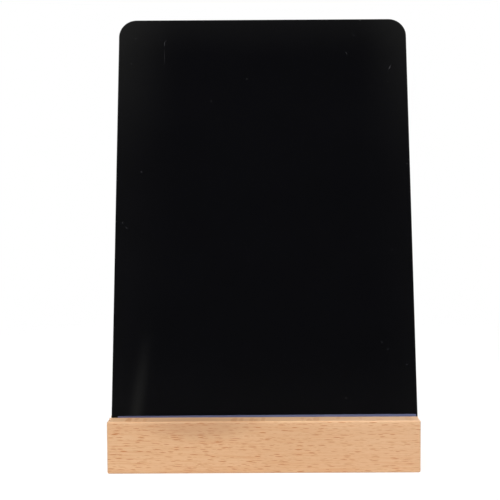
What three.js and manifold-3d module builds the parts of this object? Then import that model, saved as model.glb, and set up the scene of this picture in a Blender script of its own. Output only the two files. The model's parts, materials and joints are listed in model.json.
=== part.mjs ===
// A tabletop board: a sheet of glossy black plastic stood in the leaning slot of a beech block.
// Millimetres. X runs along the block, the front faces -Y and Z is up.
// The origin is the middle of the block's bottom face.

import * as THREE from "three";
import { mergeVertices } from "three/addons/utils/BufferGeometryUtils.js";
import { RoundedBoxGeometry } from "three/addons/geometries/RoundedBoxGeometry.js";
import Module from "manifold-3d";

// Board
const boardWidth = 148;
const boardHeight = 210;
const boardThickness = 3;
const boardTopRadius = 9;
const boardFootRadius = 1;
const boardEdgeEase = 0.2;

// Block: as long as the board is wide, with a little to spare past each side of it
const baseEndMargin = 0.3;
const baseDepth = 50;
const baseHeight = 25;
const baseEdgeRadius = 0.9;

// Slot: it leans back from the upright, and its depth is measured along the lean. The lip is the
// stretch of the block in front of it.
const leanAngle = THREE.MathUtils.degToRad(12);
const lipDepth = 9;
const slotDepth = 8;
const slotMouthEase = 0.3;

// How far to the right of the block's middle the sheets stand in the slot
const sheetShift = 0.4;

// Shim: it stops short of the board's sides, more so at the left, and stands a little higher out
// of the slot at its right end
const shimThickness = 0.5;
const shimShortLeft = 3.2;
const shimShortRight = 0.8;
const shimProudLeft = 0.7;
const shimProudRight = 1.1;

// Clearances: one on each side of each sheet in the slot, and one under both sheets
const slotClearance = 0.3;
const seatClearance = 0.3;

// How far a cut runs past the surface that it opens
const overrun = 5;

// Counts of facets: across a rounded or eased edge, and round a corner of the board
const baseEdgeFacets = 4;
const boardEaseFacets = 2;
const boardCornerFacets = 12;

// What follows from the sizes above. Across the slot, lengths start at its front wall.
const baseLength = boardWidth + 2 * baseEndMargin;
const slotFrontY = lipDepth - baseDepth / 2;
const shimFront = slotClearance;
const boardFront = shimFront + shimThickness + slotClearance;
const slotWidth = boardFront + boardThickness + slotClearance;
const sheetFoot = seatClearance - slotDepth;

const beech = new THREE.MeshStandardMaterial({ color: 0xdeaf87, roughness: 0.55, metalness: 0 });
const blackPlastic = new THREE.MeshStandardMaterial({ color: 0x0a0a0d, roughness: 0.06, metalness: 0 });
const clearPlastic = new THREE.MeshStandardMaterial({
  color: 0x7f84a0,
  roughness: 0.35,
  metalness: 0,
  transparent: true,
  opacity: 0.75,
});

const wasm = await Module();
wasm.setup();

// A closed geometry as a solid that can be cut
function toSolid(geometry) {
  const bare = geometry.clone();
  bare.deleteAttribute("normal");
  bare.deleteAttribute("uv");
  const merged = mergeVertices(bare);
  const triVerts = new Uint32Array(merged.index.array);
  const vertProperties = new Float32Array(merged.attributes.position.array);
  return new wasm.Manifold(new wasm.Mesh({ numProp: 3, vertProperties, triVerts }));
}

// A solid back as a geometry
function toGeometry(solid) {
  const mesh = solid.getMesh();
  const geometry = new THREE.BufferGeometry();
  geometry.setAttribute("position", new THREE.BufferAttribute(mesh.vertProperties, 3));
  geometry.setIndex(new THREE.BufferAttribute(mesh.triVerts, 1));
  geometry.computeVertexNormals();
  return geometry;
}

// A point of the slot's section in Y and Z: across the slot from its front wall, and up along the
// lean from the front wall's top edge
function slotPoint(across, along) {
  const sine = Math.sin(leanAngle);
  const cosine = Math.cos(leanAngle);
  return new THREE.Vector2(
    slotFrontY + across * cosine + along * sine,
    baseHeight - across * sine + along * cosine,
  );
}

// The point of a slot wall that lies a given drop below the block's top face
function slotWallPoint(across, drop) {
  return slotPoint(across, across * Math.tan(leanAngle) - drop / Math.cos(leanAngle));
}

// The slot as a bar that runs out of both ends of the block, with a mouth that opens wider
function slotCutter() {
  const mouthRun = slotMouthEase + overrun;
  const cutTop = baseHeight + overrun;
  const outline = new THREE.Shape([
    new THREE.Vector2(slotWallPoint(0, 0).x - mouthRun, cutTop),
    slotWallPoint(0, slotMouthEase),
    slotPoint(0, -slotDepth),
    slotPoint(slotWidth, -slotDepth),
    slotWallPoint(slotWidth, slotMouthEase),
    new THREE.Vector2(slotWallPoint(slotWidth, 0).x + mouthRun, cutTop),
  ]);
  const cutLength = baseLength + 2 * overrun;
  const bar = new THREE.ExtrudeGeometry(outline, { depth: cutLength, bevelEnabled: false });
  bar.translate(0, 0, -cutLength / 2);
  const alongX = new THREE.Matrix4().makeBasis(
    new THREE.Vector3(0, 1, 0),
    new THREE.Vector3(0, 0, 1),
    new THREE.Vector3(1, 0, 0),
  );
  return bar.applyMatrix4(alongX);
}

// The beech block: edges rounded all over, and the slot sawn into its top from end to end
function buildBase() {
  const block = new RoundedBoxGeometry(
    baseLength,
    baseDepth,
    baseHeight,
    baseEdgeFacets,
    baseEdgeRadius,
  );
  block.translate(0, 0, baseHeight / 2);
  const mesh = new THREE.Mesh(toGeometry(toSolid(block).subtract(toSolid(slotCutter()))), beech);
  mesh.name = "base_block";
  return mesh;
}

// A sheet stood on edge: its outline in X and Z, its thickness from Y = 0 towards the rear, and
// the edges of both faces eased
function standingSheet(outline, thickness, ease, easeFacets) {
  const sheet = new THREE.ExtrudeGeometry(outline, {
    depth: thickness - 2 * ease,
    bevelEnabled: ease > 0,
    bevelThickness: ease,
    bevelSize: ease,
    bevelOffset: -ease,
    bevelSegments: easeFacets,
    curveSegments: boardCornerFacets,
  });
  sheet.rotateX(Math.PI / 2);
  sheet.translate(0, thickness - ease, 0);
  return sheet;
}

// The board's outline: large round corners at the top, small ones at the foot
function boardOutline() {
  const side = boardWidth / 2;
  const quarter = Math.PI / 2;
  const outline = new THREE.Shape();
  outline.absarc(side - boardFootRadius, boardFootRadius, boardFootRadius, -quarter, 0);
  outline.absarc(side - boardTopRadius, boardHeight - boardTopRadius, boardTopRadius, 0, quarter);
  outline.absarc(boardTopRadius - side, boardHeight - boardTopRadius, boardTopRadius, quarter, 2 * quarter);
  outline.absarc(boardFootRadius - side, boardFootRadius, boardFootRadius, 2 * quarter, 3 * quarter);
  return outline;
}

function buildBoard() {
  const sheet = standingSheet(boardOutline(), boardThickness, boardEdgeEase, boardEaseFacets);
  const mesh = new THREE.Mesh(sheet, blackPlastic);
  mesh.name = "board_panel";
  mesh.position.set(0, boardFront, sheetFoot);
  return mesh;
}

// The shim stands in the slot in front of the board and tapers a little from right to left
function buildShim() {
  const left = shimShortLeft - boardWidth / 2;
  const right = boardWidth / 2 - shimShortRight;
  const outline = new THREE.Shape([
    new THREE.Vector2(left, 0),
    new THREE.Vector2(right, 0),
    new THREE.Vector2(right, shimProudRight - sheetFoot),
    new THREE.Vector2(left, shimProudLeft - sheetFoot),
  ]);
  const mesh = new THREE.Mesh(standingSheet(outline, shimThickness, 0, 0), clearPlastic);
  mesh.name = "slot_shim";
  mesh.position.set(0, shimFront, sheetFoot);
  return mesh;
}

// What stands in the slot leans with it: up is along the lean, from the front wall's top edge
const leaning = new THREE.Group();
leaning.position.set(sheetShift, slotFrontY, baseHeight);
leaning.rotation.x = -leanAngle;
leaning.add(buildBoard(), buildShim());

const part = new THREE.Group();
part.add(buildBase(), leaning);

export default part;
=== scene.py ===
"""Looks for a tabletop board: a glossy black sheet stood in the leaning slot of a beech block.

Metres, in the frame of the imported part: X runs along the block, the front faces -Y, Z is up.
"""

import json
import math

import bpy
from mathutils import Matrix, Vector


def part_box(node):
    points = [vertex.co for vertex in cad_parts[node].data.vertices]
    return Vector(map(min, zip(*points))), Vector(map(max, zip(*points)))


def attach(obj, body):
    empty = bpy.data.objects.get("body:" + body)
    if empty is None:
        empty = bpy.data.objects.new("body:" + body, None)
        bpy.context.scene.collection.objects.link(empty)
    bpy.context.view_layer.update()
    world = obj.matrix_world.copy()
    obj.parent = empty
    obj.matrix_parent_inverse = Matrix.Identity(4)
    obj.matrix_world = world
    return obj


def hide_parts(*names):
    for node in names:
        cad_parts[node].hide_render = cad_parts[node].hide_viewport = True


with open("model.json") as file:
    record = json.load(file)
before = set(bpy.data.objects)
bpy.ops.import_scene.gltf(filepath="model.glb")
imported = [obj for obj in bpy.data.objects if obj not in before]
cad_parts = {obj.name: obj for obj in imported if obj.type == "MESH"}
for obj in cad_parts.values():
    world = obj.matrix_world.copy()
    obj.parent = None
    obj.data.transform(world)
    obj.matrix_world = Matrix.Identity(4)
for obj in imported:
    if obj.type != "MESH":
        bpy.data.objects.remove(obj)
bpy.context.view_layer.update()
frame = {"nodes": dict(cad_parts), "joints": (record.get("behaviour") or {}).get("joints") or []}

# Edges and corners of the pieces
BLOCK_EDGE = 0.0009
BLOCK_END_EDGE = 0.0008
MOUTH_EASE = 0.0003
SLOT_END_EDGE = 0.0002
SLOT_CORNER = 0.00025
BOARD_TOP_CORNER = 0.009
BOARD_FOOT_CORNER = 0.001
BOARD_EASE = 0.00023
SHIM_CORNER = 0.0001
SHIM_EASE = 0.00008

# How far beside the slot's mouth the end edges of the block start to narrow to those of the slot
END_EDGE_NARROWING = 0.0013

# Clearances in the slot
SLOT_CLEARANCE = 0.0003
SEAT_CLEARANCE = 0.0003

# Fineness: how far a chord may stray from its arc, steps round an end edge, bays along the block
CHORD_ERROR = 0.000004
END_STEPS = 8
BLOCK_BAYS = 12

# The photograph's camera: its image, focal length and sideways framing in pixels of the photograph
PHOTO_WIDTH = 500
FOCAL_PIXELS = 948
FRAMING_PIXELS = 10

# The camera's sensor in millimetres, its place and angles, and how near it starts to see
SENSOR_WIDTH = 36
CAMERA_PLACE = Vector((0.0001, -0.4684, 0.1287))
CAMERA_YAW = math.radians(-0.18)
CAMERA_PITCH = math.radians(-2.92)
CAMERA_ROLL = math.radians(-0.31)
CAMERA_NEAR = 0.01

# Textures are laid out in millimetres. A reach is the length of a pattern along X, Y and Z. A share
# says how much of something shows. A pair of shares is where a pattern, which runs from 0 to 1,
# starts to show and where it shows in full. Colours are red, green and blue as a screen shows
# them, from 0 to 255. Only a relief's distance, which is its depth, is in metres.
MILLIMETRES = 1000

# Marks scattered in cells: the smallest's size next to a middling one's, and how far from its
# middle, in shares of the cell's depth, a mark starts to fade and is gone
SMALLEST_MARK_SHARE = 0.5
MARK_DEPTH_SHARES = (0.28, 0.4)

# Beech: how far its grain wanders off its line, in a slow drift and a small ripple
DRIFT = {"reach": (55, 40, 40), "detail": 1}
DRIFT_LIFT = 1.6
RIPPLE = {"reach": (3.2, 9, 1.6), "detail": 1}
RIPPLE_LIFT = 0.06

# Beech: growth rings round a pith that lies well in front of the block
PITH_PLACE = (0, -150, 9)
ACROSS_GRAIN = (0, 1, 1)
RING_WIDTH = 2.7
RING_DARKENING_SHARES = (0.45, 0.93)
RING_END_SHARES = (1, 0.95)

# Beech: long thin fibres, shorter pores, and broad changes of tone
FIBRES = {"reach": (24, 0.3, 0.3), "detail": 3, "roughness": 0.6}
FIBRE_SHARES = (0.4, 0.7)
PORES = {"reach": (1.3, 0.11, 0.11), "detail": 2, "roughness": 0.6}
PORE_SHARES = (0.62, 0.8)
TONES = {"reach": (38, 22, 16), "detail": 2}

# Beech: bold and fine ray flecks, and how strongly each kind shows
FLECK_TILT = math.radians(-1.3)
BOLD_FLECKS = {
    "cell": (5.8, 17, 1.15),
    "half_length": 1.8,
    "half_width": 0.125,
    "spin": 0.07,
    "edge": 0.03,
    "tilt": FLECK_TILT,
}
BOLD_LEAST_SHARE = 0.65
FINE_FLECKS = {
    "cell": (3.4, 11, 0.68),
    "half_length": 1.05,
    "half_width": 0.1,
    "spin": 0.08,
    "edge": 0.03,
    "tilt": FLECK_TILT,
}
FINE_FLECKS_SHIFT = (31, 7, 53)
FINE_MOST_SHARE = 0.8
TOP_FLECK_SHARE = 0.38

# Beech: a darker patch near the front top edge, and the stretch of X over which painted light lightens
# it
PATCH_PLACE = (-30, -25, 24)
PATCH_REACH = (35, 12, 11)
PATCH_FADE_SHARES = (1, 0.3)
PAINTED_LIGHT_STRETCH = (-5, 70)

# Beech: its colours, and how much of each shows at most
PALE_WOOD_COLOUR = (230, 189, 147)
TAN_WOOD_COLOUR = (220, 176, 133)
LATE_WOOD_COLOUR = (196, 143, 101)
LATE_WOOD_SHARE = 0.22
FIBRE_COLOUR = (212, 156, 111)
FIBRE_SHARE = 0.8
PORE_COLOUR = (190, 132, 86)
PORE_SHARE = 0.28
FLECK_COLOUR = (180, 94, 6)
PATCH_COLOUR = (178, 134, 98)
PATCH_SHARE = 0.42
# Painted light: this colour lightens the block towards its right end, most of all on top, in place of
# light from the right
PAINTED_LIGHT_COLOUR = (248, 208, 170)
PAINTED_LIGHT_SHARE = 0.15
PAINTED_LIGHT_TOP_SHARE = 0.35
END_COLOUR = (205, 153, 110)
END_SHARE = 0.45
END_FACING_SHARES = (0.6, 0.95)

# Beech: its roughness, what fibres and ends add to it, its relief and its gloss
BEECH_ROUGHNESS = 0.44
FIBRE_ROUGHNESS = 0.16
END_ROUGHNESS = 0.1
FIBRE_RELIEF_SHARE = 0.7
PORE_RELIEF_SHARE = 0.3
BEECH_RELIEF = {"Strength": 0.16, "Distance": 0.00004}
BEECH_GLOSS = {"IOR": 1.46}

# Black sheet: broad smears and upright wipes
SMEARS = {"reach": (46, 46, 30), "detail": 3, "roughness": 0.55}
SMEAR_SHARES = (0.35, 0.8)
WIPES = {"reach": (4, 30, 60), "detail": 2}
WIPE_SHARES = (0.6, 0.9)

# Black sheet: hairline scratches and specks, turned almost any way, of which only some show
ANY_ANGLE = 6.2
HAIRS = {"cell": (17, 60, 17), "half_length": 1.4, "half_width": 0.03, "spin": ANY_ANGLE, "edge": 0.05}
HAIR_CHANCE_SHARES = (0.4, 0.6)
HAIR_SHARE = 0.5
SPECKS = {"cell": (9, 60, 9), "half_length": 0.16, "half_width": 0.12, "spin": ANY_ANGLE, "edge": 0.05}
SPECKS_SHIFT = (97, 3, 41)
SPECK_CHANCE_SHARES = (0.84, 0.9)
SPECK_SHARE = 0.4

# Black sheet: marks on its front, each with x and height along the lean in millimetres, its angle
# from the level in degrees, half its length and half its width in millimetres, and its strength
SHEET_MARKS = (
    (-50, 203.5, 90, 5, 0.12, 0.42),
    (-50, 210.5, 90, 1.6, 0.2, 0.7),
    (-49.5, 212, 35, 0.8, 0.2, 0.45),
    (65.5, 197.3, 62, 1.7, 0.25, 0.85),
    (43.5, 205, -58, 1.1, 0.25, 0.55),
    (-67, 200, 0, 0.5, 0.4, 0.35),
    (-61, 143, 0, 0.6, 0.5, 0.5),
    (-70, 117, 90, 0.7, 0.45, 0.35),
    (-68, 114.5, -40, 1.1, 0.2, 0.4),
    (58, 57, 0, 0.5, 0.4, 0.4),
    (61, 53.5, 0, 0.5, 0.4, 0.3),
    (70, 46, 0, 0.5, 0.4, 0.35),
    (40, 30, 0, 0.5, 0.4, 0.4),
    (-65, 213.5, 0, 0.5, 0.4, 0.3),
    (47.5, 214.5, 0, 0.5, 0.4, 0.25),
    (60, 208.5, 0, 0.5, 0.4, 0.22),
)
FRONT_FACING_SHARES = (0.5, 0.9)

# Black sheet: its colours, and how much of each shows at most
SHEET_COLOUR = (6, 6, 8)
SMEAR_COLOUR = (9, 9, 12)
SCRATCH_COLOUR = (120, 120, 126)
SCRATCH_SHARE = 0.3
DUST_COLOUR = (190, 190, 186)
DUST_SHARE = 0.5

# Black sheet: its roughness, what smears, wipes and marks add to it, its relief and its gloss
SHEET_ROUGHNESS = 0.03
SMEAR_ROUGHNESS = 0.035
WIPE_ROUGHNESS = 0.02
MARK_ROUGHNESS = 0.4
SHEET_RELIEF = {"Strength": 0.25, "Distance": 0.00002}
SHEET_GLOSS = {"IOR": 1.49}

# Shim: lines along it, a milky haze, and the stretch of X over which it turns brighter
SHIM_LINES = {"reach": (22, 0.3, 0.12), "detail": 2, "roughness": 0.6}
SHIM_HAZE = {"reach": (30, 8, 4), "detail": 2}
HAZE_SHARES = (0.3, 0.7)
BRIGHTER_STRETCH = (-75, 40)

# Shim: its colours, its roughness, its relief and its gloss
SHIM_LEFT_COLOUR = (82, 82, 118)
SHIM_RIGHT_COLOUR = (112, 121, 161)
HAZE_COLOUR = (96, 102, 142)
HAZE_SHARE = 0.5
LINE_COLOUR = (132, 138, 182)
LINE_SHARE = 0.35
SHIM_ROUGHNESS = 0.26
LINE_ROUGHNESS = 0.2
SHIM_RELIEF = {"Strength": 0.2, "Distance": 0.00002}
SHIM_GLOSS = {"IOR": 1.5, "Transmission Weight": 0.25}

# Studio floor: its half width, how far out it is solid and where it has faded away
FLOOR_REACH = 0.9
FLOOR_SOLID = 0.25
FLOOR_FADED = 0.6

# Light in the studio, as shares of full white
WORLD_SHARE = 0.34
FLOOR_PAINT_SHARE = 0.82
FLOOR_SHADOW_SHARE = 0.3
FLOOR_GLOW_SHARE = 0.8

# Lamps: name, azimuth and elevation in degrees, distance, width, height, and about what share of
# full white a white surface that faces it shows. Azimuth is 0 in front and grows to the right. All
# aim at one height above the middle of the block.
LAMPS = (
    ("key_lamp", -42, 44, 0.95, 0.5, 0.5, 0.57),
    ("fill_lamp", 45, 44, 0.95, 0.5, 0.5, 0.4),
    ("back_lamp", 180, 60, 1, 0.6, 0.4, 0.17),
)
AIM_HEIGHT = 0.05

# The screen that the glossy sheet mirrors: its place, its width, its reach above the floor's level
# and below it, and its tint
SCREEN_DISTANCE = 0.72
SCREEN_MIDDLE = 0.01
SCREEN_WIDTH = 2.4
SCREEN_REACH = 1.9
SCREEN_TINT = (1, 1, 0.9, 1)

# The screen's light everywhere, then what is added at its top, sides and foot, each with the
# stretch, in metres from its middle or up from the floor, over which it sets in
SCREEN_SHARE = 0.022
SCREEN_TOP_SHARE = 0.1
SCREEN_TOP = (0.67, 0.77)
SCREEN_SIDE = (0.12, 0.24)
SCREEN_SIDE_SHARE = 0.045
SCREEN_SIDE_TOP_SHARE = 0.185
SCREEN_SIDE_TOP = (0.46, 0.76)
SCREEN_FOOT_SHARE = 0.03
SCREEN_FOOT = (0.26, 0.16)

# The slanting streak on the screen: its light, the place from which it fades upwards, its slope,
# half its width, and how far up it has faded away
STREAK_SHARE = 0.18
STREAK_PLACE = (-0.167, 0.17)
STREAK_SLOPE = 0.092
STREAK_HALF_WIDTH = 0.012
STREAK_FADE = 0.125

WHITE = (1, 1, 1, 1)

# The sheets lean along UP, square to RIGHT and BACK, and the block stands along the world's axes
RIGHT = Vector((1, 0, 0))
UP = Vector(frame["joints"][0]["axis"]).normalized()
BACK = UP.cross(RIGHT)
WORLD_UP = Vector((0, 0, 1))
WORLD_BACK = Vector((0, 1, 0))


def extent(node, direction, keep=lambda spot: True):
    """Lowest and highest reach of a CAD node along a direction, over the vertices to keep."""
    spots = [vertex.co for vertex in frame["nodes"][node].data.vertices]
    reaches = [spot.dot(direction) for spot in spots if keep(spot)]
    return min(reaches), max(reaches)


def rounded(corners):
    """An outline with round corners, as rows of (point, outward normal, ease of the end edge).

    A corner is (point, radius, ease), and the corners run anticlockwise. A radius of 0 keeps a
    plain point, for a place along a straight side.
    """
    ring = []
    for index, (spot, radius, ease) in enumerate(corners):
        here = Vector(spot)
        to_last = (Vector(corners[index - 1][0]) - here).normalized()
        to_next = (Vector(corners[(index + 1) % len(corners)][0]) - here).normalized()
        normal = Vector((-to_last.y, to_last.x))
        if radius == 0:
            ring.append((here, normal, ease))
            continue
        turn = math.pi - to_last.angle(to_next)
        side = 1 if to_next.cross(to_last) > 0 else -1
        centre = here + (to_last + to_next).normalized() * radius / math.cos(turn / 2)
        step = 2 * math.acos(1 - CHORD_ERROR / radius)
        steps = math.ceil(turn / step)
        for count in range(steps + 1):
            turned = Matrix.Rotation(side * turn * count / steps, 2) @ normal
            ring.append((centre + turned * side * radius, turned, ease))
    return ring


def link(name, data):
    """A new object in the scene."""
    made = bpy.data.objects.new(name, data)
    bpy.context.scene.collection.objects.link(made)
    return made


def soft_prism(name, corners, low, high, across, up, bays=1):
    """A bar whose section is a rounded outline, from low to high, with both end edges rounded.

    The section lies along across and up, and the bar runs along their cross product. Bays divide
    its length.
    """
    along = across.cross(up)
    ring = rounded(corners)
    spots = []
    normals = []

    def add_row(end, sign, turn):
        for point, normal, ease in ring:
            flat = point - normal * ease * (1 - math.cos(turn))
            run = end - sign * ease * (1 - math.sin(turn))
            spots.append(across * flat.x + up * flat.y + along * run)
            level = across * normal.x + up * normal.y
            normals.append(level * math.cos(turn) + along * sign * math.sin(turn))

    def add_section(run):
        for point, normal, _ in ring:
            spots.append(across * point.x + up * point.y + along * run)
            normals.append(across * normal.x + up * normal.y)

    for count in range(END_STEPS, -1, -1):
        add_row(low, -1, math.pi / 2 * count / END_STEPS)
    for bay in range(1, bays):
        add_section(low + (high - low) * bay / bays)
    for count in range(END_STEPS + 1):
        add_row(high, 1, math.pi / 2 * count / END_STEPS)

    size = len(ring)
    rows = len(spots) // size
    faces = [list(range(size))[::-1]]
    for row in range(rows - 1):
        for index in range(size):
            beside = (index + 1) % size
            start = row * size
            faces.append([start + index, start + beside, start + size + beside, start + size + index])
    faces.append([(rows - 1) * size + index for index in range(size)])

    mesh = bpy.data.meshes.new(name)
    mesh.from_pydata(spots, [], faces)
    mesh.polygons.foreach_set("use_smooth", [True] * len(faces))
    mesh.normals_split_custom_set_from_vertices(normals)
    return link(name, mesh)


def dress(piece, material, node, body):
    """Gives a piece its material and puts it in the place of a CAD node."""
    piece.data.materials.append(material)
    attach(piece, body)
    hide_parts(node)


class Shade:
    """A node tree, built by calls. Most of them return an output socket of a new node."""

    def __init__(self, tree):
        self.tree = tree
        tree.nodes.clear()

    def node(self, kind, inputs=None, output=0, **settings):
        """Adds a node. Its inputs, by name or number, are sockets to link or plain values."""
        made = self.tree.nodes.new(kind)
        for key, value in settings.items():
            setattr(made, key, value)
        for key, value in (inputs or {}).items():
            if isinstance(value, bpy.types.NodeSocket):
                self.tree.links.new(value, made.inputs[key])
            else:
                made.inputs[key].default_value = value
        return made.outputs[output] if made.outputs else None

    def math(self, operation, *values, clamp=False):
        inputs = dict(enumerate(values))
        return self.node("ShaderNodeMath", inputs, operation=operation, use_clamp=clamp)

    def vector(self, operation, *values):
        """A calculation with vectors whose result is a vector."""
        return self.node("ShaderNodeVectorMath", dict(enumerate(values)), operation=operation)

    def measure(self, operation, *values):
        """A calculation with vectors whose result is one number."""
        inputs = dict(enumerate(values))
        return self.node("ShaderNodeVectorMath", inputs, "Value", operation=operation)

    def join(self, x, y, z):
        return self.node("ShaderNodeCombineXYZ", {0: x, 1: y, 2: z})

    def split(self, vector):
        return self.node("ShaderNodeSeparateXYZ", {0: vector}).node.outputs

    def surface_point(self):
        """The place of a point of the surface and its normal, both along the piece's own axes."""
        outputs = self.node("ShaderNodeTexCoord").node.outputs
        return outputs["Object"], outputs["Normal"]

    def in_millimetres(self, place):
        return self.node("ShaderNodeVectorMath", {0: place, "Scale": MILLIMETRES}, operation="SCALE")

    def noise(self, point, reach, detail, roughness=0.5):
        """Smooth noise from 0 to 1, whose patterns are as long as their reach."""
        stretched = self.vector("DIVIDE", point, reach)
        inputs = {"Vector": stretched, "Scale": 1, "Detail": detail, "Roughness": roughness}
        return self.node("ShaderNodeTexNoise", inputs)

    def rise(self, value, start, end):
        """0 at start and before it, 1 at end and past it, smooth between. Start may be the larger."""
        inputs = {0: value, 1: start, 2: end}
        return self.node("ShaderNodeMapRange", inputs, interpolation_type="SMOOTHSTEP")

    def mix(self, share, under, over):
        """A share of one colour over another. The node's sockets for colours are 6, 7 and 2."""
        return self.node("ShaderNodeMix", {0: share, 6: under, 7: over}, 2, data_type="RGBA")

    def surface(self, shader):
        self.node("ShaderNodeOutputMaterial", {"Surface": shader})

    def glossy_surface(self, colours, roughness, height, relief, gloss):
        """The material's surface, with a fine relief that follows a height."""
        bump = self.node("ShaderNodeBump", {"Height": height, **relief})
        inputs = {"Base Color": colours, "Roughness": roughness, "Normal": bump, **gloss}
        self.surface(self.node("ShaderNodeBsdfPrincipled", inputs))


def colour(red, green, blue):
    """A linear colour from the 0 to 255 values that a screen shows, by the sRGB curve."""

    def linear(value):
        share = value / 255
        return share / 12.92 if share <= 0.04045 else ((share + 0.055) / 1.055) ** 2.4

    return (linear(red), linear(green), linear(blue), 1)


def new_material(name):
    material = bpy.data.materials.new(name)
    material.use_nodes = True
    return material, Shade(material.node_tree)


def spindle(shade, x, z, sine, cosine, half_length, half_width, edge):
    """How strongly a slim pointed mark round the origin of the X-Z plane covers a point."""
    along = shade.math("ADD", shade.math("MULTIPLY", x, cosine), shade.math("MULTIPLY", z, sine))
    across = shade.math(
        "SUBTRACT", shade.math("MULTIPLY", z, cosine), shade.math("MULTIPLY", x, sine)
    )
    reach = shade.math("DIVIDE", along, half_length)
    taper = shade.math("SUBTRACT", 1, shade.math("MULTIPLY", reach, reach), clamp=True)
    outline = shade.math("MULTIPLY", half_width, taper)
    room = shade.math("SUBTRACT", outline, shade.math("ABSOLUTE", across))
    return shade.math("DIVIDE", room, edge, clamp=True)


def spindles(shade, point, cell, half_length, half_width, spin, edge, tilt=0):
    """Slim pointed marks in the X-Z plane, at most one to a cell.

    Lengths are in millimetres. half_length and half_width are a middling mark's. tilt is the middle
    of the marks' angles and spin their range, edge the width of the marks' soft edge. Returns how
    strongly a mark covers the point, and three random numbers of the mark.
    """
    scaled = shade.vector("DIVIDE", point, cell)
    nearest = shade.node("ShaderNodeTexVoronoi", {"Vector": scaled, "Scale": 1}, "Position")
    chance = nearest.node.outputs["Color"]
    offset = shade.vector("MULTIPLY", shade.vector("SUBTRACT", scaled, nearest), cell)
    x, deep, z = shade.split(offset)
    first, second, third = shade.split(chance)
    angle = shade.math("MULTIPLY_ADD", first, spin, tilt - spin / 2)
    sine = shade.math("SINE", angle)
    cosine = shade.math("COSINE", angle)
    least_length = half_length * SMALLEST_MARK_SHARE
    least_width = half_width * SMALLEST_MARK_SHARE
    own_length = shade.math("MULTIPLY_ADD", second, half_length, least_length)
    own_width = shade.math("MULTIPLY_ADD", third, half_width, least_width)
    cover = spindle(shade, x, z, sine, cosine, own_length, own_width, edge)
    depth = shade.math("DIVIDE", shade.math("ABSOLUTE", deep), cell[1])
    near = shade.math("SUBTRACT", 1, shade.rise(depth, *MARK_DEPTH_SHARES))
    return shade.math("MULTIPLY", cover, near), (first, second, third)


def fleck_cover(shade, grain):
    """How strongly a ray fleck, bold or fine, covers a point of the grain."""
    bold, bold_chance = spindles(shade, grain, **BOLD_FLECKS)
    shifted = shade.vector("ADD", grain, FINE_FLECKS_SHIFT)
    fine, fine_chance = spindles(shade, shifted, **FINE_FLECKS)
    bold_share = shade.math("MULTIPLY_ADD", bold_chance[0], 1 - BOLD_LEAST_SHARE, BOLD_LEAST_SHARE)
    fine_share = shade.math("MULTIPLY", fine_chance[1], FINE_MOST_SHARE)
    bold_fleck = shade.math("MULTIPLY", bold, bold_share)
    fine_fleck = shade.math("MULTIPLY", fine, fine_share)
    return shade.math("MAXIMUM", bold_fleck, fine_fleck)


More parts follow.
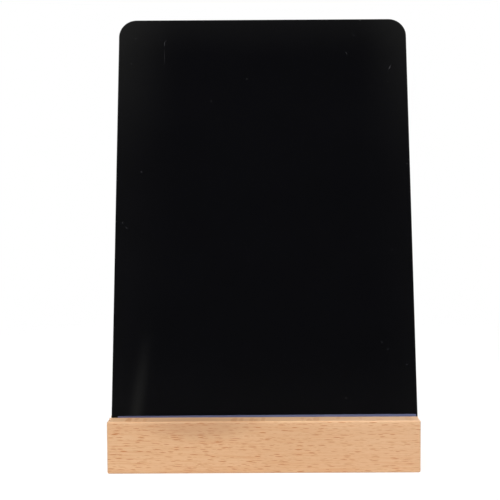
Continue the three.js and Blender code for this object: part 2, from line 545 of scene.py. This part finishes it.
def beech_material():
    """Pale beech with its grain along X: short ray flecks on the front and rear, ribbons on top."""
    material, shade = new_material("beech")
    place, normal = shade.surface_point()
    end_facing, _, top_facing = shade.split(shade.vector("ABSOLUTE", normal))
    point = shade.in_millimetres(place)

    # The grain wanders a little off its line on its way along the block
    drift = shade.math("MULTIPLY", shade.noise(point, **DRIFT), DRIFT_LIFT)
    ripple = shade.math("MULTIPLY", shade.noise(point, **RIPPLE), RIPPLE_LIFT)
    lift = shade.math("ADD", drift, ripple)
    grain = shade.vector("ADD", point, shade.join(0, lift, lift))

    # Each growth ring darkens slowly and ends sharply
    from_pith = shade.vector("MULTIPLY", shade.vector("SUBTRACT", grain, PITH_PLACE), ACROSS_GRAIN)
    radius = shade.measure("LENGTH", from_pith)
    ring = shade.math("FRACT", shade.math("DIVIDE", radius, RING_WIDTH))
    darkening = shade.rise(ring, *RING_DARKENING_SHARES)
    late_wood = shade.math("MULTIPLY", darkening, shade.rise(ring, *RING_END_SHARES))

    fibre = shade.noise(grain, **FIBRES)
    pore = shade.noise(grain, **PORES)
    tone = shade.noise(point, **TONES)
    fleck_strength = shade.math("MULTIPLY_ADD", top_facing, TOP_FLECK_SHARE - 1, 1)
    fleck = shade.math("MULTIPLY", fleck_cover(shade, grain), fleck_strength)

    pale = shade.mix(tone, colour(*PALE_WOOD_COLOUR), colour(*TAN_WOOD_COLOUR))
    late_share = shade.math("MULTIPLY", late_wood, LATE_WOOD_SHARE)
    ringed = shade.mix(late_share, pale, colour(*LATE_WOOD_COLOUR))
    fibred = shade.mix(shade.rise(fibre, *FIBRE_SHARES), ringed, colour(*FIBRE_COLOUR))
    softened = shade.mix(FIBRE_SHARE, ringed, fibred)
    pore_share = shade.math("MULTIPLY", shade.rise(pore, *PORE_SHARES), PORE_SHARE)
    pored = shade.mix(pore_share, softened, colour(*PORE_COLOUR))
    flecked = shade.mix(fleck, pored, colour(*FLECK_COLOUR))

    # The darker patch, then painted light, lighter towards the right end and most of all on top, then
    # the end grain
    patch_offset = shade.vector("DIVIDE", shade.vector("SUBTRACT", point, PATCH_PLACE), PATCH_REACH)
    patch = shade.rise(shade.measure("LENGTH", patch_offset), *PATCH_FADE_SHARES)
    patched = shade.mix(shade.math("MULTIPLY", patch, PATCH_SHARE), flecked, colour(*PATCH_COLOUR))
    painted_light = shade.rise(shade.split(point)[0], *PAINTED_LIGHT_STRETCH)
    painted_light_most = shade.math("MULTIPLY_ADD", top_facing, PAINTED_LIGHT_TOP_SHARE, PAINTED_LIGHT_SHARE)
    painted_lit = shade.mix(shade.math("MULTIPLY", painted_light, painted_light_most), patched, colour(*PAINTED_LIGHT_COLOUR))
    end_share = shade.math("MULTIPLY", shade.rise(end_facing, *END_FACING_SHARES), END_SHARE)
    wood = shade.mix(end_share, painted_lit, colour(*END_COLOUR))

    fibre_rough = shade.math("MULTIPLY_ADD", fibre, FIBRE_ROUGHNESS, BEECH_ROUGHNESS)
    rough = shade.math("MULTIPLY_ADD", end_facing, END_ROUGHNESS, fibre_rough)
    fibre_height = shade.math("MULTIPLY", fibre, FIBRE_RELIEF_SHARE)
    height = shade.math("SUBTRACT", fibre_height, shade.math("MULTIPLY", pore, PORE_RELIEF_SHARE))
    shade.glossy_surface(wood, rough, height, BEECH_RELIEF, BEECH_GLOSS)
    return material


def sheet_marks(shade, point):
    """The scratches and nicks that stand out on the front of the black sheet."""
    x, _, z = shade.split(point)
    total = 0
    for place_x, place_z, degrees, half_length, half_width, strength in SHEET_MARKS:
        sine = math.sin(math.radians(degrees))
        cosine = math.cos(math.radians(degrees))
        off_x = shade.math("SUBTRACT", x, place_x)
        off_z = shade.math("SUBTRACT", z, place_z)
        cover = spindle(shade, off_x, off_z, sine, cosine, half_length, half_width, half_width)
        total = shade.math("MULTIPLY_ADD", cover, strength, total)
    return total


def black_sheet_material():
    """Black plastic with a mirror gloss, faint smears, a few hairline scratches and specks."""
    material, shade = new_material("black_sheet")
    place, normal = shade.surface_point()

    # Turned upright, so that Z runs up the leaning sheet
    upright = shade.node(
        "ShaderNodeVectorRotate",
        {"Vector": shade.in_millimetres(place), "Angle": math.atan2(UP.y, UP.z)},
        rotation_type="X_AXIS",
    )
    smear = shade.noise(upright, **SMEARS)
    wipe = shade.noise(upright, **WIPES)

    hair, hair_chance = spindles(shade, upright, **HAIRS)
    some_hairs = shade.math("MULTIPLY", hair, shade.rise(hair_chance[0], *HAIR_CHANCE_SHARES))
    front_facing = shade.rise(shade.measure("DOT_PRODUCT", normal, -BACK), *FRONT_FACING_SHARES)
    placed = shade.math("MULTIPLY", sheet_marks(shade, upright), front_facing)
    marks = shade.math("MAXIMUM", placed, shade.math("MULTIPLY", some_hairs, HAIR_SHARE))

    shifted = shade.vector("ADD", upright, SPECKS_SHIFT)
    speck, speck_chance = spindles(shade, shifted, **SPECKS)
    speck_shown = shade.rise(speck_chance[0], *SPECK_CHANCE_SHARES)
    dust = shade.math("MULTIPLY", speck, shade.math("MULTIPLY", speck_shown, SPECK_SHARE))

    black = shade.mix(smear, colour(*SHEET_COLOUR), colour(*SMEAR_COLOUR))
    scratched = shade.mix(shade.math("MULTIPLY", marks, SCRATCH_SHARE), black, colour(*SCRATCH_COLOUR))
    dusty = shade.mix(shade.math("MULTIPLY", dust, DUST_SHARE), scratched, colour(*DUST_COLOUR))

    smeared = shade.rise(smear, *SMEAR_SHARES)
    smear_rough = shade.math("MULTIPLY_ADD", smeared, SMEAR_ROUGHNESS, SHEET_ROUGHNESS)
    wipe_rough = shade.math("MULTIPLY", shade.rise(wipe, *WIPE_SHARES), WIPE_ROUGHNESS)
    mark_rough = shade.math("MULTIPLY", shade.math("MAXIMUM", marks, dust), MARK_ROUGHNESS)
    rough = shade.math("MAXIMUM", shade.math("ADD", smear_rough, wipe_rough), mark_rough)
    height = shade.math("SUBTRACT", dust, marks)
    shade.glossy_surface(dusty, rough, height, SHEET_RELIEF, SHEET_GLOSS)
    return material


def shim_material():
    """Half-clear bluish plastic with a milky haze and faint lines along the strip."""
    material, shade = new_material("shim_strip")
    place, _ = shade.surface_point()
    point = shade.in_millimetres(place)
    line = shade.noise(point, **SHIM_LINES)
    haze = shade.rise(shade.noise(point, **SHIM_HAZE), *HAZE_SHARES)
    brighter = shade.rise(shade.split(point)[0], *BRIGHTER_STRETCH)
    base = shade.mix(brighter, colour(*SHIM_LEFT_COLOUR), colour(*SHIM_RIGHT_COLOUR))
    hazed = shade.mix(shade.math("MULTIPLY", haze, HAZE_SHARE), base, colour(*HAZE_COLOUR))
    lined = shade.mix(shade.math("MULTIPLY", line, LINE_SHARE), hazed, colour(*LINE_COLOUR))
    rough = shade.math("MULTIPLY_ADD", line, LINE_ROUGHNESS, SHIM_ROUGHNESS)
    shade.glossy_surface(lined, rough, line, SHIM_RELIEF, SHIM_GLOSS)
    return material


def make_block():
    """The beech block, with its slot where the CAD sheets stand."""
    low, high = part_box("base_block")
    front_wall = extent("slot_shim", BACK)[0] - SLOT_CLEARANCE
    rear_wall = extent("board_panel", BACK)[1] + SLOT_CLEARANCE
    floor = extent("board_panel", UP)[0] - SEAT_CLEARANCE

    def wall_top(wall):
        rise = (high.z - wall * BACK.z) / UP.z
        return wall * BACK.y + rise * UP.y

    def floor_point(wall):
        spot = BACK * wall + UP * floor
        return spot.y, spot.z

    front_mouth = wall_top(front_wall)
    rear_mouth = wall_top(rear_wall)
    corners = [
        ((low.y, low.z), BLOCK_EDGE, BLOCK_END_EDGE),
        ((high.y, low.z), BLOCK_EDGE, BLOCK_END_EDGE),
        ((high.y, high.z), BLOCK_EDGE, BLOCK_END_EDGE),
        ((rear_mouth + END_EDGE_NARROWING, high.z), 0, BLOCK_END_EDGE),
        ((rear_mouth, high.z), MOUTH_EASE, SLOT_END_EDGE),
        (floor_point(rear_wall), SLOT_CORNER, SLOT_END_EDGE),
        (floor_point(front_wall), SLOT_CORNER, SLOT_END_EDGE),
        ((front_mouth, high.z), MOUTH_EASE, SLOT_END_EDGE),
        ((front_mouth - END_EDGE_NARROWING, high.z), 0, BLOCK_END_EDGE),
        ((low.y, high.z), BLOCK_EDGE, BLOCK_END_EDGE),
    ]
    piece = soft_prism("beech_block", corners, low.x, high.x, WORLD_BACK, WORLD_UP, BLOCK_BAYS)
    dress(piece, beech_material(), "base_block", "base")


def make_board():
    """The black sheet, leaning with the slot."""
    left, right = extent("board_panel", RIGHT)
    foot, top = extent("board_panel", UP)
    front, back = extent("board_panel", BACK)
    corners = [
        ((left, foot), BOARD_FOOT_CORNER, BOARD_EASE),
        ((right, foot), BOARD_FOOT_CORNER, BOARD_EASE),
        ((right, top), BOARD_TOP_CORNER, BOARD_EASE),
        ((left, top), BOARD_TOP_CORNER, BOARD_EASE),
    ]
    piece = soft_prism("black_board", corners, -back, -front, RIGHT, UP)
    dress(piece, black_sheet_material(), "board_panel", "board")


def make_shim():
    """The thin strip in front of the board, a little higher at its right end."""
    left, right = extent("slot_shim", RIGHT)
    middle = (left + right) / 2
    foot, right_top = extent("slot_shim", UP)
    left_top = extent("slot_shim", UP, lambda spot: spot.x < middle)[1]
    front, back = extent("slot_shim", BACK)
    corners = [
        ((left, foot), SHIM_CORNER, SHIM_EASE),
        ((right, foot), SHIM_CORNER, SHIM_EASE),
        ((right, right_top), SHIM_CORNER, SHIM_EASE),
        ((left, left_top), SHIM_CORNER, SHIM_EASE),
    ]
    piece = soft_prism("clear_shim", corners, -back, -front, RIGHT, UP)
    dress(piece, shim_material(), "slot_shim", "base")


def seen(shade):
    """1 for camera, glossy and transmission rays, 0 for the rest."""
    path = shade.node("ShaderNodeLightPath").node.outputs
    direct = shade.math("MAXIMUM", path["Is Camera Ray"], path["Is Glossy Ray"])
    return shade.math("MAXIMUM", direct, path["Is Transmission Ray"])


def make_world():
    """White where it is seen, and a dimmer, even light on the object."""
    world = bpy.data.worlds.new("studio")
    world.use_nodes = True
    bpy.context.scene.world = world
    shade = Shade(world.node_tree)
    light = shade.node("ShaderNodeBackground", {"Color": WHITE, "Strength": WORLD_SHARE})
    white = shade.node("ShaderNodeBackground", {"Color": WHITE, "Strength": 1})
    mixed = shade.node("ShaderNodeMixShader", {0: seen(shade), 1: light, 2: white})
    shade.node("ShaderNodeOutputWorld", {"Surface": mixed})


def rectangle(name, half_width, half_height, material):
    """A flat rectangle in X and Y round the origin."""
    mesh = bpy.data.meshes.new(name)
    spots = [
        (-half_width, -half_height, 0),
        (half_width, -half_height, 0),
        (half_width, half_height, 0),
        (-half_width, half_height, 0),
    ]
    mesh.from_pydata(spots, [], [list(range(len(spots)))])
    mesh.materials.append(material)
    return link(name, mesh)


def grey(share):
    """A linear grey."""
    return (share, share, share, 1)


def make_floor():
    """A floor that shows as white wherever no shadow lies, and fades into the white round it."""
    material, shade = new_material("floor_white")
    place, _ = shade.surface_point()
    direct = seen(shade)
    painted = shade.mix(direct, grey(FLOOR_PAINT_SHARE), grey(FLOOR_SHADOW_SHARE))
    paint = shade.node("ShaderNodeBsdfDiffuse", {"Color": painted})
    strength = shade.math("MULTIPLY", direct, FLOOR_GLOW_SHARE)
    glow = shade.node("ShaderNodeEmission", {"Color": WHITE, "Strength": strength})
    lit = shade.node("ShaderNodeAddShader", {0: paint, 1: glow})
    clear = shade.node("ShaderNodeBsdfTransparent")
    fade = shade.rise(shade.measure("LENGTH", place), FLOOR_SOLID, FLOOR_FADED)
    shade.surface(shade.node("ShaderNodeMixShader", {0: fade, 1: lit, 2: clear}))
    floor = rectangle("floor", FLOOR_REACH, FLOOR_REACH, material)


def streak_cover(shade, side, height):
    """How strongly the slanting streak lights a point of the screen."""
    climb = shade.math("SUBTRACT", height, STREAK_PLACE[1])
    middle = shade.math("MULTIPLY_ADD", climb, STREAK_SLOPE, STREAK_PLACE[0])
    off_middle = shade.math("ABSOLUTE", shade.math("SUBTRACT", side, middle))
    across = shade.rise(off_middle, STREAK_HALF_WIDTH, 0)
    return shade.math("MULTIPLY", across, shade.rise(climb, STREAK_FADE, 0))


def make_screen():
    """A dim wall behind the camera, paler high up, at its sides and foot, and in one streak."""
    material, shade = new_material("dim_screen")
    place, _ = shade.surface_point()
    side, height, _ = shade.split(place)
    top = shade.math("MULTIPLY", shade.rise(height, *SCREEN_TOP), SCREEN_TOP_SHARE)
    foot = shade.math("MULTIPLY", shade.rise(height, *SCREEN_FOOT), SCREEN_FOOT_SHARE)
    side_top = shade.math("MULTIPLY", shade.rise(height, *SCREEN_SIDE_TOP), SCREEN_SIDE_TOP_SHARE)
    side_light = shade.math("ADD", side_top, SCREEN_SIDE_SHARE)
    at_side = shade.rise(shade.math("ABSOLUTE", side), *SCREEN_SIDE)
    total = shade.math("MULTIPLY_ADD", at_side, side_light, SCREEN_SHARE)
    total = shade.math("ADD", total, shade.math("ADD", top, foot))
    total = shade.math("MULTIPLY_ADD", streak_cover(shade, side, height), STREAK_SHARE, total)
    shade.surface(shade.node("ShaderNodeEmission", {"Color": SCREEN_TINT, "Strength": total}))

    screen = rectangle("dim_screen", SCREEN_WIDTH / 2, SCREEN_REACH, material)
    screen.location = (SCREEN_MIDDLE, -SCREEN_DISTANCE, 0)
    screen.rotation_euler = (math.pi / 2, 0, 0)
    screen.visible_camera = False
    screen.visible_diffuse = False
    screen.visible_shadow = False
    screen.visible_transmission = False


def make_lamp(name, azimuth, elevation, distance, width, height, share):
    """A soft lamp aimed a little above the block."""
    lamp = bpy.data.lights.new(name, "AREA")
    lamp.shape = "RECTANGLE"
    lamp.size = width
    lamp.size_y = height
    lamp.energy = share * math.pi**2 * distance**2
    level = distance * math.cos(elevation)
    rise = distance * math.sin(elevation)
    place = Vector((level * math.sin(azimuth), -level * math.cos(azimuth), rise))
    holder = link(name, lamp)
    holder.location = Vector((0, 0, AIM_HEIGHT)) + place
    holder.rotation_euler = place.to_track_quat("Z", "Y").to_euler()


def make_camera():
    """The photograph's camera."""
    camera = bpy.data.cameras.new("camera")
    camera.sensor_width = SENSOR_WIDTH
    camera.lens = FOCAL_PIXELS / PHOTO_WIDTH * SENSOR_WIDTH
    camera.shift_x = -FRAMING_PIXELS / PHOTO_WIDTH
    camera.clip_start = CAMERA_NEAR
    turned = Matrix.Rotation(-CAMERA_YAW, 4, "Z")
    tipped = Matrix.Rotation(math.pi / 2 + CAMERA_PITCH, 4, "X")
    rolled = Matrix.Rotation(CAMERA_ROLL, 4, "Z")
    holder = link("camera", camera)
    holder.matrix_world = Matrix.Translation(CAMERA_PLACE) @ turned @ tipped @ rolled
    bpy.context.scene.camera = holder


make_camera()
make_world()
make_floor()
make_screen()
for name, azimuth, elevation, distance, width, height, share in LAMPS:
    make_lamp(name, math.radians(azimuth), math.radians(elevation), distance, width, height, share)
bpy.context.scene.view_settings.view_transform = "Standard"

make_block()
make_board()
make_shim()
